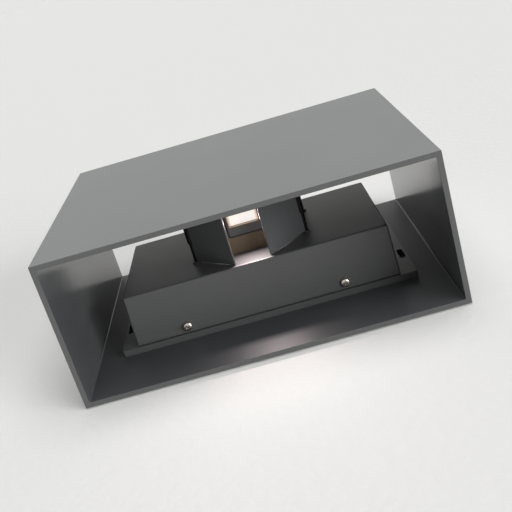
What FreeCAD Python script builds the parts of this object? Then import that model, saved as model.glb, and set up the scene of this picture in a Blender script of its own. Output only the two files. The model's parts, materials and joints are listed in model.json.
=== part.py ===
"""Up-and-down wall light: an open sleeve round a sealed driver box, a lamp block and four beam flaps.

The frame is the light's own, as it hangs on a wall: +Z is up, the wall is the plane y = 0, the light
stands out of it towards -Y, and the origin is the middle of the sleeve's back face. "Depth" below
always means the distance out from the wall. All sizes are in millimetres.
"""
import FreeCAD
import Part
import math
import os

Vector = FreeCAD.Vector

# ---- Driving dimensions ------------------------------------------------------------------------
# Sleeve
sleeve_width = 215.0
sleeve_height = 180.0
sleeve_depth = 86.0
sleeve_wall = 3.0
sleeve_outer_round = 0.4
sleeve_inner_round = 0.8

# Base plate, and the space left between the foot of the driver box and the sleeve
side_channel = 24.9
end_recess = 44.1
plate_thick = 3.8
plate_ear = 9.3
plate_lip = 1.1
plate_round = 1.0

# Wall slots, one in each ear of the base plate and in the sleeve's back wall behind it
slot_width = 3.4
slot_length = 14.0
slot_rise = 17.2
slot_edge = 3.1

# Driver cover, which narrows towards its front by the draft on each side, and its gasket
cover_height = 30.5
cover_draft_x = 0.8
cover_draft_z = 1.7
cover_wall = 1.6
cover_round = 1.2
gasket_thick = 0.6
gasket_inset = 0.4

# Cover screws and the tapped blocks on the base plate that take them
cover_screw_pitch = 95.0
cover_screw_rise = 4.4
screw_block_width = 9.0
screw_block_length = 6.0
screw_block_height = 8.0
screw_block_gap = 0.3

# Lamp block
pedestal_width = 28.0
block_length = 52.0
head_width = 20.0
head_height = 17.8
joint_gasket = 0.4
joint_inset = 0.4
window_width = 18.0
window_height = 7.0
frame_depth = 3.0
glass_thick = 1.5
seal_thick = 0.5
seal_lap = 1.0
board_thick = 1.2
board_recess = 2.8
fit_gap = 0.1

# Light-emitting chips on each board
chip_width = 3.5
chip_height = 3.0
chip_thick = 0.7
chip_pitch = 5.0
chip_count = 3

# Hinge bridge, which carries the front ends of the hinge rods
bridge_plate = 1.5
bridge_margin = 3.5
bridge_clearance = 1.8

# Flaps and hinge rods
upper_hinge_pitch = 68.0
lower_hinge_pitch = 71.2
flap_reach = 31.8
flap_thick = 1.0
flap_angle = 42.5
rod_radius = 1.25
rod_socket = 3.2
rod_head_radius = 2.2
rod_head_thick = 1.0
rod_root = 0.2
boss_radius = 3.0
boss_floor = 0.8
washer_radius = 2.4
washer_thick = 1.0
running_gap = 0.05
axial_gap = 0.1
flap_gap = 0.3

# Screws: shank radius, head radius and head height
m3_shank = 1.5
m3_head = 2.8
m3_head_height = 2.0
m4_shank = 2.0
m4_head = 4.0
m25_shank = 1.25
m25_head = 2.25
m25_head_height = 1.5
screw_play = 0.2
thread_play = 0.02
recess_width = 0.55
recess_share = 0.55
head_sink = 0.2

# Pedestal screws and bridge screws
pedestal_screw_pitch_x = 20.0
pedestal_screw_pitch_z = 36.0
pedestal_screw_bite = 6.0
bridge_screw_pitch_x = 12.0
bridge_screw_pitch_z = 20.0
bridge_screw_bite = 6.0

# Sleeve screws
sleeve_screw_inset_x = 15.0
sleeve_screw_inset_z = 12.5

# Lead passages in the lamp block and the cover
lead_bore = 4.2
lead_channel_width = 5.2
lead_channel_height = 3.0
lead_grommet_wall = 0.8
lead_grommet_flange = 1.4
lead_grommet_lip = 1.0

# Leads
lamp_lead_radius = 0.65
lamp_lead_pitch = 2.6
mains_lead_radius = 1.1
mains_lead_pitch = 14.0
lamp_lead_bend = 4.0
earth_lead_bend = 3.0
earth_lead_stub = 3.0

# Cable entry
cable_bore = 4.0
cable_inset = 19.0
grommet_wall = 2.0
grommet_flange = 2.0
grommet_lip = 1.5
grommet_setback = 0.5

# Driver
driver_length = 50.0
driver_width = 36.0
driver_height = 20.0
driver_round = 1.0
driver_ear = 7.0
driver_ear_thick = 2.0
driver_from_centre = 9.0
driver_screw_bite = 2.5

# Terminal block and earth point
terminal_length = 18.0
terminal_pitch = 7.0
terminal_height = 15.0
terminal_to_cable = 12.0
terminal_wire_height = 5.0
terminal_wire_radius = 1.3
terminal_wire_depth = 6.0
terminal_ways = 3
clamp_radius = 1.8
clamp_length = 5.0
clamp_inset = 4.0
tag_thick = 0.8
tag_radius = 3.6
tag_from_terminal = 15.0
tag_barrel_length = 3.0
tag_barrel_wall = 0.4

# ---- Places worked out from the driving dimensions ----------------------------------------------
half_width = sleeve_width / 2
half_height = sleeve_height / 2
inner_half_width = half_width - sleeve_wall

cover_foot_x = inner_half_width - side_channel
cover_foot_z = half_height - end_recess
cover_inner_x = cover_foot_x - cover_wall
cover_inner_z = cover_foot_z - cover_wall
plate_half_x = cover_foot_x + plate_ear
plate_half_z = cover_foot_z + plate_lip

plate_back = sleeve_wall
plate_front = plate_back + plate_thick
cover_seat = plate_front + gasket_thick
cover_front = cover_seat + cover_height
cover_ceiling = cover_front - cover_wall
bridge_front = sleeve_depth - sleeve_wall - bridge_clearance
bridge_back = bridge_front - bridge_plate

lamp_depth = (cover_front + bridge_back) / 2
head_back = lamp_depth - head_height / 2
head_front = lamp_depth + head_height / 2
pedestal_front = head_back - joint_gasket
bridge_seat = head_front + joint_gasket
head_half_z = block_length / 2 - frame_depth
glass_back = head_half_z - glass_thick
seal_back = glass_back - seal_thick
board_back = seal_back - board_recess - board_thick

hinge_z = head_half_z - bridge_margin
widest_hinge_x = max(upper_hinge_pitch, lower_hinge_pitch) / 2
washer_front = cover_front + washer_thick
flap_back = washer_front + axial_gap
flap_front = bridge_back - flap_gap

slot_x = plate_half_x - slot_edge
cable_x = cover_inner_x - cable_inset
sleeve_screw_x = cover_inner_x - sleeve_screw_inset_x
sleeve_screw_z = cover_inner_z - sleeve_screw_inset_z
cover_screw_x = cover_screw_pitch / 2
cover_screw_depth = plate_front + cover_screw_rise

driver_right = -driver_from_centre
driver_left = driver_right - driver_length
driver_ear_screw = driver_ear / 2
terminal_right = cable_x - terminal_to_cable
terminal_left = terminal_right - terminal_length
terminal_half_z = terminal_pitch * terminal_ways / 2
terminal_wire_depth_out = plate_front + terminal_wire_height
earth_x = terminal_left - tag_from_terminal


def hinge_x(end):
    """Distance of a hinge axis from the middle; end is 1 for the upper flaps and -1 for the lower."""
    return (upper_hinge_pitch if end > 0 else lower_hinge_pitch) / 2


def cover_half(depth):
    """Half width and half height of the driver cover at a depth."""
    share = (depth - cover_seat) / cover_height
    return cover_foot_x - cover_draft_x * share, cover_foot_z - cover_draft_z * share


screw_block_outer = cover_half(plate_front + screw_block_height)[1] - cover_wall - screw_block_gap
cover_screw_seat = cover_half(cover_screw_depth - m3_head)[1]


# ---- Shapes to build with -----------------------------------------------------------------------
def block(xs, depths, zs):
    """Box between two x, two depths out from the wall and two heights."""
    size = (xs[1] - xs[0], depths[1] - depths[0], zs[1] - zs[0])
    return Part.makeBox(*size, Vector(xs[0], -depths[1], zs[0]))


def slab(half_x, depths, half_z):
    """Box centred on the light's middle line."""
    return block((-half_x, half_x), depths, (-half_z, half_z))


def stud(x, z, radius, depths):
    """Round bar square to the wall."""
    return Part.makeCylinder(radius, depths[1] - depths[0], Vector(x, -depths[0], z), Vector(0, -1, 0))


def pin_up(x, depth, radius, zs):
    """Round bar that runs up the light."""
    return Part.makeCylinder(radius, zs[1] - zs[0], Vector(x, -depth, zs[0]), Vector(0, 0, 1))


def pin_across(depth, z, radius, xs):
    """Round bar that runs across the light."""
    return Part.makeCylinder(radius, xs[1] - xs[0], Vector(xs[0], -depth, z), Vector(1, 0, 0))


def four_places(x, z):
    """The four corners (+-x, +-z)."""
    return [(side * x, end * z) for side in (-1, 1) for end in (-1, 1)]


def hinge_places():
    return [(side * hinge_x(end), end * hinge_z) for side in (-1, 1) for end in (-1, 1)]


def without(shape, cutters):
    """The shape with every cutter taken out of it."""
    return shape.cut(Part.makeCompound(list(cutters)))


def joined(shapes):
    """The shapes fused into one clean solid."""
    return shapes[0].multiFuse(list(shapes[1:])).removeSplitter()


def edges_along(shape, axis):
    """Straight edges within a few degrees of one axis, given as 0, 1 or 2 for x, y or z."""
    found = []
    for edge in shape.Edges:
        run = edge.Vertexes[-1].Point - edge.Vertexes[0].Point
        if run.Length > 0 and abs(run[axis]) > 0.99 * run.Length:
            found.append(edge)
    return found


def placed(shape, point, outward):
    """A shape made along +Z, turned so that +Z points outward, and moved to the point."""
    turned = shape.copy()
    turn = FreeCAD.Rotation(Vector(0, 0, 1), Vector(*outward))
    turned.Placement = FreeCAD.Placement(Vector(*point), turn)
    return turned


def pan_screw(shank, head, head_height, length):
    """Pan-head screw along Z with its head above z = 0 and a cross recess."""
    top = Part.makeCylinder(head, head_height)
    rim = [edge for edge in top.Edges if edge.BoundBox.ZMin > head_height / 2]
    top = top.makeFillet(0.45 * head_height, rim)
    body = top.fuse(Part.makeCylinder(shank, length, Vector(0, 0, -length))).removeSplitter()
    arm = 0.62 * head
    deep = recess_share * head_height
    cutters = []
    for across, along in ((arm, recess_width / 2), (recess_width / 2, arm)):
        corner = Vector(-across, -along, head_height - deep)
        cutters.append(Part.makeBox(2 * across, 2 * along, deep, corner))
    return without(body, cutters)


def countersunk_screw(shank, head, length):
    """Countersunk screw along Z with its flat head at z = 0 and a cross recess."""
    cone_height = head - shank
    cone = Part.makeCone(shank, head, cone_height, Vector(0, 0, -cone_height))
    body = cone.fuse(Part.makeCylinder(shank, length, Vector(0, 0, -length))).removeSplitter()
    arm = 0.55 * head
    deep = recess_share * cone_height
    cutters = []
    for across, along in ((arm, recess_width / 2), (recess_width / 2, arm)):
        cutters.append(Part.makeBox(2 * across, 2 * along, deep, Vector(-across, -along, -deep)))
    return without(body, cutters)


def lead(points, radius, bend):
    """Insulated lead through the points, with a tangent arc of the bend radius at each corner."""
    route = [Vector(*point) for point in points]
    edges = []
    start = route[0]
    for index in range(1, len(route) - 1):
        before = (route[index - 1] - route[index]).normalize()
        after = (route[index + 1] - route[index]).normalize()
        half_turn = before.getAngle(after) / 2
        setback = bend / math.tan(half_turn)
        arc_start = route[index] + before * setback
        arc_end = route[index] + after * setback
        middle = (before + after).normalize()
        centre = route[index] + middle * (bend / math.sin(half_turn))
        arc_mid = centre - middle * bend
        edges.append(Part.LineSegment(start, arc_start).toShape())
        edges.append(Part.Arc(arc_start, arc_mid, arc_end).toShape())
        start = arc_end
    edges.append(Part.LineSegment(start, route[-1]).toShape())
    path = Part.Wire(edges)
    section = Part.Wire(Part.makeCircle(radius, route[0], (route[1] - route[0]).normalize()))
    return path.makePipeShell([section], True, False)


# ---- Sleeve and base plate ------------------------------------------------------------------------
def wall_slot(x, z, depths):
    """Upright slot with round ends."""
    reach = (slot_length - slot_width) / 2
    middle = block((x - slot_width / 2, x + slot_width / 2), depths, (z - reach, z + reach))
    ends = [stud(x, z + end * reach, slot_width / 2, depths) for end in (-1, 1)]
    return joined([middle] + ends)


def wall_slots(depths):
    return [wall_slot(side * slot_x, slot_rise, depths) for side in (-1, 1)]


def make_sleeve():
    outside = slab(half_width, (0, sleeve_depth), half_height)
    outside = outside.makeFillet(sleeve_outer_round, edges_along(outside, 2))
    inside = slab(inner_half_width, (sleeve_wall, sleeve_depth - sleeve_wall), half_height)
    inside = inside.makeFillet(sleeve_inner_round, edges_along(inside, 2))
    cutters = [inside] + wall_slots((0, sleeve_wall))
    cutters.append(stud(cable_x, 0, cable_bore + grommet_wall, (0, sleeve_wall)))
    seat_radius = m4_head + screw_play
    seat_depth = m4_head - m4_shank
    for x, z in four_places(sleeve_screw_x, sleeve_screw_z):
        cutters.append(stud(x, z, m4_shank + screw_play, (0, sleeve_wall)))
        cutters.append(stud(x, z, seat_radius, (0, head_sink)))
        cutters.append(Part.makeCone(seat_radius, m4_shank + screw_play, seat_depth,
                                     Vector(x, -head_sink, z), Vector(0, -1, 0)))
    return without(outside, cutters)


def make_base_plate():
    plate = slab(plate_half_x, (plate_back, plate_front), plate_half_z)
    plate = plate.makeFillet(plate_round, edges_along(plate, 1))
    through = (plate_back, plate_front)
    cutters = wall_slots(through)
    cutters.append(stud(cable_x, 0, cable_bore + grommet_wall, through))
    for x, z in four_places(sleeve_screw_x, sleeve_screw_z):
        cutters.append(stud(x, z, m4_shank + thread_play, through))
    for x in driver_screw_places():
        cutters.append(stud(x, 0, m3_shank + thread_play, through))
    cutters.append(stud(terminal_screw_x(), 0, m25_shank + thread_play, through))
    cutters.append(stud(earth_x, 0, m3_shank + thread_play, through))
    return without(plate, cutters)


def make_screw_blocks():
    """Four tapped blocks, welded to the base plate just inside the cover's end walls."""
    inner = screw_block_outer - screw_block_length
    blocks = []
    for x, end in four_places(cover_screw_x, 1):
        zs = sorted((end * screw_block_outer, end * inner))
        body = block((x - screw_block_width / 2, x + screw_block_width / 2),
                     (plate_front, plate_front + screw_block_height), zs)
        blocks.append(without(body, [pin_up(x, cover_screw_depth, m3_shank + thread_play, zs)]))
    return blocks


def make_sleeve_screws():
    screw = countersunk_screw(m4_shank, m4_head, plate_front - head_sink)
    return [placed(screw, (x, -head_sink, z), (0, 1, 0))
            for x, z in four_places(sleeve_screw_x, sleeve_screw_z)]


def make_cable_grommet():
    neck = stud(cable_x, 0, cable_bore + grommet_wall, (grommet_setback, plate_front))
    flange = stud(cable_x, 0, cable_bore + grommet_wall + grommet_lip,
                  (plate_front, plate_front + grommet_flange))
    bore = stud(cable_x, 0, cable_bore, (grommet_setback, plate_front + grommet_flange))
    return without(joined([neck, flange]), [bore])


# ---- Driver cover -----------------------------------------------------------------------------------
def cover_block(shrink, front):
    """Tapered block from the cover's foot out to a depth, smaller all round by the shrink."""
    foot_x, foot_z = [half - shrink for half in cover_half(cover_seat)]
    front_x, front_z = [half - shrink for half in cover_half(front)]
    return Part.makeWedge(-front_x, -front, -front_z, -foot_z, -foot_x,
                          front_x, -cover_seat, front_z, foot_z, foot_x)


def make_driver_cover():
    outside = cover_block(0, cover_front)
    rim_edges = edges_along(outside, 1)
    rim_edges += [edge for edge in edges_along(outside, 0) + edges_along(outside, 2)
                  if edge.BoundBox.YMax < -(cover_front - cover_height / 2)]
    outside = outside.makeFillet(cover_round, rim_edges)
    shell = without(outside, [cover_block(cover_wall, cover_ceiling)])
    socket_floor = cover_front - rod_socket
    bosses = [stud(x, z, boss_radius, (socket_floor - boss_floor, cover_ceiling))
              for x, z in hinge_places()]
    shell = joined([shell] + bosses)
    cutters = [stud(x, z, rod_radius + running_gap, (socket_floor, cover_front))
               for x, z in hinge_places()]
    for x, z in four_places(pedestal_screw_pitch_x / 2, pedestal_screw_pitch_z / 2):
        cutters.append(stud(x, z, m3_shank + screw_play, (cover_ceiling, cover_front)))
    cutters.append(stud(0, 0, lead_bore, (cover_ceiling, cover_front)))
    for x, end in four_places(cover_screw_x, 1):
        zs = sorted((end * cover_foot_z, end * (cover_inner_z - cover_draft_z)))
        cutters.append(pin_up(x, cover_screw_depth, m3_shank + screw_play, zs))
    return without(shell, cutters)


def make_cover_gasket():
    depths = (plate_front, cover_seat)
    outside = slab(cover_foot_x - gasket_inset, depths, cover_foot_z - gasket_inset)
    outside = outside.makeFillet(cover_round, edges_along(outside, 1))
    return without(outside, [slab(cover_inner_x, depths, cover_inner_z)])


def make_cover_screws():
    length = cover_screw_seat - screw_block_outer + screw_block_length
    screw = pan_screw(m3_shank, m3_head, m3_head_height, length)
    return [placed(screw, (x, -cover_screw_depth, end * cover_screw_seat), (0, 0, end))
            for x, end in four_places(cover_screw_x, 1)]


# ---- Lamp block --------------------------------------------------------------------------------------
def make_lamp_pedestal():
    body = slab(pedestal_width / 2, (cover_front, pedestal_front), head_half_z)
    cutters = [stud(0, 0, lead_bore, (cover_front, pedestal_front))]
    for x, z in four_places(pedestal_screw_pitch_x / 2, pedestal_screw_pitch_z / 2):
        cutters.append(stud(x, z, m3_shank + thread_play,
                            (cover_front, cover_front + pedestal_screw_bite)))
    for x, z in four_places(bridge_screw_pitch_x / 2, bridge_screw_pitch_z / 2):
        cutters.append(stud(x, z, m25_shank + thread_play,
                            (pedestal_front - bridge_screw_bite, pedestal_front)))
    return without(body, cutters)


def make_pedestal_screws():
    screw = pan_screw(m3_shank, m3_head, m3_head_height, cover_wall + pedestal_screw_bite)
    places = four_places(pedestal_screw_pitch_x / 2, pedestal_screw_pitch_z / 2)
    return [placed(screw, (x, -cover_ceiling, z), (0, 1, 0)) for x, z in places]


def make_head_gaskets():
    pads = []
    for depths in ((pedestal_front, head_back), (head_front, bridge_seat)):
        pad = slab(head_width / 2 - joint_inset, depths, head_half_z - joint_inset)
        cutters = [stud(x, z, m25_shank + screw_play, depths)
                   for x, z in four_places(bridge_screw_pitch_x / 2, bridge_screw_pitch_z / 2)]
        if depths[0] == pedestal_front:
            cutters.append(stud(0, 0, lead_bore, depths))
        pads.append(without(pad, cutters))
    return pads


def window_box(shrink, zs):
    """Box the size of the lit window, made smaller all round by the shrink."""
    half = window_height / 2 - shrink
    return block((shrink - window_width / 2, window_width / 2 - shrink),
                 (lamp_depth - half, lamp_depth + half), zs)


def make_lamp_head():
    body = slab(head_width / 2, (head_back, head_front), head_half_z)
    cutters = []
    for end in (-1, 1):
        cutters.append(window_box(0, sorted((end * seal_back, end * head_half_z))))
        cutters.append(window_box(seal_lap, sorted((end * board_back, end * seal_back))))
    channel = lead_channel_height / 2
    cutters.append(block((-lead_channel_width / 2, lead_channel_width / 2),
                         (lamp_depth - channel, lamp_depth + channel), (-board_back, board_back)))
    cutters.append(stud(0, 0, lead_bore, (head_back, lamp_depth + channel)))
    for x, z in four_places(bridge_screw_pitch_x / 2, bridge_screw_pitch_z / 2):
        cutters.append(stud(x, z, m25_shank + screw_play, (head_back, head_front)))
    return without(body, cutters)


def make_window_frame(end):
    zs = sorted((end * head_half_z, end * block_length / 2))
    body = block((-head_width / 2, head_width / 2), (head_back, head_front), zs)
    return without(body, [window_box(0, zs)])


def make_window_glass(end):
    return window_box(fit_gap, sorted((end * glass_back, end * head_half_z)))


def make_window_seal(end):
    zs = sorted((end * seal_back, end * glass_back))
    return without(window_box(fit_gap, zs), [window_box(seal_lap, zs)])


def make_led_board(end):
    zs = sorted((end * board_back, end * (board_back + board_thick)))
    return window_box(seal_lap + fit_gap, zs)


def make_led_chips(end):
    front = board_back + board_thick
    zs = sorted((end * front, end * (front + chip_thick)))
    chips = []
    for index in range(chip_count):
        x = (index - (chip_count - 1) / 2) * chip_pitch
        chips.append(block((x - chip_width / 2, x + chip_width / 2),
                           (lamp_depth - chip_height / 2, lamp_depth + chip_height / 2), zs))
    return chips


def make_hinge_bridge():
    plate = slab(widest_hinge_x + bridge_margin, (bridge_back, bridge_front), head_half_z)
    plate = plate.makeFillet(bridge_margin - running_gap, edges_along(plate, 1))
    boss = slab(pedestal_width / 2, (bridge_seat, bridge_back), head_half_z)
    body = joined([plate, boss])
    cutters = [stud(x, z, rod_radius + running_gap, (bridge_back, bridge_front))
               for x, z in hinge_places()]
    for x, z in four_places(bridge_screw_pitch_x / 2, bridge_screw_pitch_z / 2):
        cutters.append(stud(x, z, m25_shank + screw_play, (bridge_seat, bridge_front)))
    return without(body, cutters)


def make_bridge_screws():
    length = bridge_front - pedestal_front + bridge_screw_bite
    screw = pan_screw(m25_shank, m25_head, m25_head_height, length)
    places = four_places(bridge_screw_pitch_x / 2, bridge_screw_pitch_z / 2)
    return [placed(screw, (x, -bridge_front, z), (0, -1, 0)) for x, z in places]


# ---- Flaps and hinge rods ----------------------------------------------------------------------------
def flap_plate(side, end, first, last, depths):
    """Flat plate in the flap's plane, between two distances from its hinge axis."""
    turn = math.radians(flap_angle)
    along = Vector(-side * math.cos(turn), 0, end * math.sin(turn))
    across = Vector(along.z, 0, -along.x) * (flap_thick / 2)
    hinge = Vector(side * hinge_x(end), -depths[0], end * hinge_z)
    near = hinge + along * first
    far = hinge + along * last
    corners = [near + across, far + across, far - across, near - across]
    outline = Part.makePolygon(corners + [corners[0]])
    return Part.Face(outline).extrude(Vector(0, depths[0] - depths[1], 0))


def make_flap(side, end):
    return flap_plate(side, end, rod_root, flap_reach, (flap_back, flap_front))


def make_rod(side, end):
    """Hinge rod with a head at its front and a slot that grips the flap's outer edge."""
    x = side * hinge_x(end)
    z = end * hinge_z
    head_back_face = bridge_front + axial_gap
    shaft = stud(x, z, rod_radius, (cover_front - rod_socket + flap_gap, head_back_face))
    head = stud(x, z, rod_head_radius, (head_back_face, head_back_face + rod_head_thick))
    slot = flap_plate(side, end, rod_root, 2 * rod_radius, (flap_back, flap_front))
    return without(joined([shaft, head]), [slot])


def make_rod_washers():
    return [without(stud(x, z, washer_radius, (cover_front, washer_front)),
                    [stud(x, z, rod_radius + running_gap, (cover_front, washer_front))])
            for x, z in hinge_places()]


# ---- Inside the driver box ---------------------------------------------------------------------------
def driver_screw_places():
    return [driver_left - driver_ear_screw, driver_right + driver_ear_screw]


def make_led_driver():
    depths = (plate_front, plate_front + driver_height)
    body = block((driver_left, driver_right), depths, (-driver_width / 2, driver_width / 2))
    body = body.makeFillet(driver_round, edges_along(body, 1))
    ear_depths = (plate_front, plate_front + driver_ear_thick)
    ears = block((driver_left - driver_ear, driver_right + driver_ear), ear_depths,
                 (-driver_ear, driver_ear))
    body = joined([body, ears])
    cutters = [stud(x, 0, m3_shank + screw_play, ear_depths) for x in driver_screw_places()]
    return without(body, cutters)


def make_driver_screws():
    screw = pan_screw(m3_shank, m3_head, m3_head_height, driver_ear_thick + driver_screw_bite)
    depth = plate_front + driver_ear_thick
    return [placed(screw, (x, -depth, 0), (0, -1, 0)) for x in driver_screw_places()]


def terminal_screw_x():
    return (terminal_left + terminal_right) / 2


def terminal_places():
    """Middle height of each way of the terminal block."""
    return [(way - (terminal_ways - 1) / 2) * terminal_pitch for way in range(terminal_ways)]


def clamp_places():
    """Places of the clamping screws, two to a way."""
    return [(x, z) for x in (terminal_left + clamp_inset, terminal_right - clamp_inset)
            for z in terminal_places()]


def make_terminal_block():
    front = plate_front + terminal_height
    body = block((terminal_left, terminal_right), (plate_front, front),
                 (-terminal_half_z, terminal_half_z))
    cutters = []
    for z in terminal_places():
        for xs in ((terminal_left, terminal_left + terminal_wire_depth),
                   (terminal_right - terminal_wire_depth, terminal_right)):
            cutters.append(pin_across(terminal_wire_depth_out, z, terminal_wire_radius, xs))
    for x, z in clamp_places():
        cutters.append(stud(x, z, clamp_radius, (front - clamp_length, front)))
    middle = terminal_screw_x()
    cutters.append(stud(middle, 0, m25_shank + screw_play, (plate_front, front)))
    cutters.append(stud(middle, 0, m25_head + screw_play, (front - clamp_length, front)))
    return without(body, cutters)


def make_terminal_clamps():
    """Slotted clamping screws, sunk a little below the block's front."""
    clamps = []
    front = plate_front + terminal_height
    top = front - head_sink
    slot = recess_width / 2
    for x, z in clamp_places():
        body = stud(x, z, clamp_radius - thread_play, (front - clamp_length, top))
        groove = block((x - clamp_radius, x + clamp_radius), (top - recess_width, top),
                       (z - slot, z + slot))
        clamps.append(without(body, [groove]))
    return clamps


def make_terminal_screw():
    seat = plate_front + terminal_height - clamp_length
    screw = pan_screw(m25_shank, m25_head, m25_head_height, seat - plate_back)
    return placed(screw, (terminal_screw_x(), -seat, 0), (0, -1, 0))


def make_earth_tag():
    depths = (plate_front, plate_front + tag_thick)
    ring = stud(earth_x, 0, tag_radius, depths)
    neck = block((earth_x, earth_x + tag_radius + tag_barrel_length), depths,
                 (-mains_lead_radius, mains_lead_radius))
    barrel_radius = mains_lead_radius + tag_barrel_wall
    barrel_depth = depths[1] + mains_lead_radius
    xs = (earth_x + tag_radius, earth_x + tag_radius + tag_barrel_length)
    barrel = pin_across(barrel_depth, 0, barrel_radius, xs)
    body = joined([ring, neck, barrel])
    cutters = [stud(earth_x, 0, m3_shank + screw_play, depths),
               pin_across(barrel_depth, 0, mains_lead_radius, xs)]
    return without(body, cutters)


def make_earth_screw():
    screw = pan_screw(m3_shank, m3_head, m3_head_height, tag_thick + plate_thick)
    return placed(screw, (earth_x, -(plate_front + tag_thick), 0), (0, -1, 0))


def make_earth_lead():
    """From the middle way of the terminal block down to the barrel of the tag."""
    barrel_depth = plate_front + tag_thick + mains_lead_radius
    barrel_end = earth_x + tag_radius + tag_barrel_length
    points = [(terminal_left, -terminal_wire_depth_out, 0),
              (terminal_left - earth_lead_stub, -terminal_wire_depth_out, 0),
              (barrel_end + earth_lead_stub / 2, -barrel_depth, 0),
              (earth_x + tag_radius, -barrel_depth, 0)]
    return lead(points, mains_lead_radius, earth_lead_bend)


def make_mains_leads():
    """Two leads from the outer ways of the terminal block straight across to the driver."""
    return [pin_across(terminal_wire_depth_out, z, mains_lead_radius, (driver_right, terminal_left))
            for z in (-mains_lead_pitch / 2, mains_lead_pitch / 2)]


def make_lamp_leads(end):
    """Two leads from the back of a board, down the middle of the lamp block to the driver."""
    leads = []
    z_down = end * lamp_lead_pitch / 2
    driver_middle = plate_front + driver_height / 2
    for side in (-1, 1):
        x = side * lamp_lead_pitch / 2
        out_depth = driver_middle - side * lamp_lead_pitch
        points = [(x, -lamp_depth, end * board_back),
                  (x, -lamp_depth, z_down),
                  (x, -out_depth, z_down),
                  (driver_right, -out_depth, z_down)]
        leads.append(lead(points, lamp_lead_radius, lamp_lead_bend))
    return leads


def make_lead_grommet():
    outside = lead_bore + lead_grommet_lip
    neck = stud(0, 0, lead_bore, (cover_ceiling, cover_front))
    flange = stud(0, 0, outside, (cover_ceiling - lead_grommet_flange, cover_ceiling))
    bore = stud(0, 0, lead_bore - lead_grommet_wall, (cover_ceiling - lead_grommet_flange, cover_front))
    return without(joined([neck, flange]), [bore])


# ---- Write every piece ----------------------------------------------------------------------------
def all_pieces():
    pieces = {
        "sleeve": make_sleeve(),
        "base_plate": make_base_plate(),
        "screw_blocks": make_screw_blocks(),
        "sleeve_screws": make_sleeve_screws(),
        "cable_grommet": make_cable_grommet(),
        "driver_cover": make_driver_cover(),
        "cover_gasket": make_cover_gasket(),
        "cover_screws": make_cover_screws(),
        "lamp_pedestal": make_lamp_pedestal(),
        "pedestal_screws": make_pedestal_screws(),
        "head_gaskets": make_head_gaskets(),
        "lamp_head": make_lamp_head(),
        "hinge_bridge": make_hinge_bridge(),
        "bridge_screws": make_bridge_screws(),
        "rod_washers": make_rod_washers(),
        "led_driver": make_led_driver(),
        "driver_screws": make_driver_screws(),
        "terminal_block": make_terminal_block(),
        "terminal_clamps": make_terminal_clamps(),
        "terminal_screw": make_terminal_screw(),
        "earth_tag": make_earth_tag(),
        "earth_screw": make_earth_screw(),
        "earth_lead": make_earth_lead(),
        "mains_leads": make_mains_leads(),
        "lead_grommet": make_lead_grommet(),
    }
    for end_name, end in (("upper", 1), ("lower", -1)):
        pieces["window_frame_" + end_name] = make_window_frame(end)
        pieces["window_glass_" + end_name] = make_window_glass(end)
        pieces["window_seal_" + end_name] = make_window_seal(end)
        pieces["led_board_" + end_name] = make_led_board(end)
        pieces["led_chips_" + end_name] = make_led_chips(end)
        pieces["lamp_leads_" + end_name] = make_lamp_leads(end)
        for side_name, side in (("left", -1), ("right", 1)):
            pieces["flap_" + end_name + "_" + side_name] = make_flap(side, end)
            pieces["rod_" + end_name + "_" + side_name] = make_rod(side, end)
    return pieces


os.makedirs("parts", exist_ok=True)
for node, shape in all_pieces().items():
    solids = shape if isinstance(shape, list) else [shape]
    solids = [solid for item in solids for solid in item.Solids]
    whole = solids[0] if len(solids) == 1 else Part.makeCompound(solids)
    whole.exportStep(os.path.join("parts", node + ".step"))
    volume = sum(solid.Volume for solid in solids)
    print(f"{node:20s} solids {len(solids):2d}  volume {volume:10.1f}  valid {whole.isValid()}")
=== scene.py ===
# %% [markdown]
# # An up-and-down wall light with four beam flaps
#
# The light is a rectangular aluminium sleeve, open at its top and its bottom. A sealed driver box is
# screwed to its back wall, a small lamp block stands on the box and shines out of both open ends, and
# two thin flaps at each end swing on black rods to set how wide each beam is.
#
# The frame is the light's own: +Z is up the wall, the wall is the plane y = 0, and the light stands out
# of it towards -Y. Everything is in metres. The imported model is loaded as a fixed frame, and each piece
# here gets its place from that frame, so nothing has to be fitted afterwards.

# %% Load the frame
import json
import math

import bmesh
import bpy
from mathutils import Matrix, Vector


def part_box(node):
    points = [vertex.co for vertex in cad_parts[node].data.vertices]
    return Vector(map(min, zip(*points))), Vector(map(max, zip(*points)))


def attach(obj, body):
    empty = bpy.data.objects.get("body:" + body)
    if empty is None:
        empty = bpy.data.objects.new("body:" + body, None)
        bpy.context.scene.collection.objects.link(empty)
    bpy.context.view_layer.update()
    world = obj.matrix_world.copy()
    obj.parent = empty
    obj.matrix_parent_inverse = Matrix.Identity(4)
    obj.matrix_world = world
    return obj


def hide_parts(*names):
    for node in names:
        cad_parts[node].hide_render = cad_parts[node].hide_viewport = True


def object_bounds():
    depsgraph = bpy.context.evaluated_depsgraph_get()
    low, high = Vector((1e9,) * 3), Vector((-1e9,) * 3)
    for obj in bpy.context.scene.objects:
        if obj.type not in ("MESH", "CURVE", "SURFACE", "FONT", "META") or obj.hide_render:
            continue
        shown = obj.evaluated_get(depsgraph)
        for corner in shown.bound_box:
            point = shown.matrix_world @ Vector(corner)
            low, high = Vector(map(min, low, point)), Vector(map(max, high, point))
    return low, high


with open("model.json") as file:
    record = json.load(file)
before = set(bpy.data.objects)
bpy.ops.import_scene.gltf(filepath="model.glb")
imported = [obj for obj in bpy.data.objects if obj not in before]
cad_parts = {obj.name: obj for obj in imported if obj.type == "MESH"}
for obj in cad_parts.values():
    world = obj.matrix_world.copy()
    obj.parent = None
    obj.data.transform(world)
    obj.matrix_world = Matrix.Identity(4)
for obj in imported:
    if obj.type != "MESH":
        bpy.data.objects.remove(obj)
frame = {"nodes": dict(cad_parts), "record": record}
cad_box = [list(corner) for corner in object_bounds()]
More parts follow.
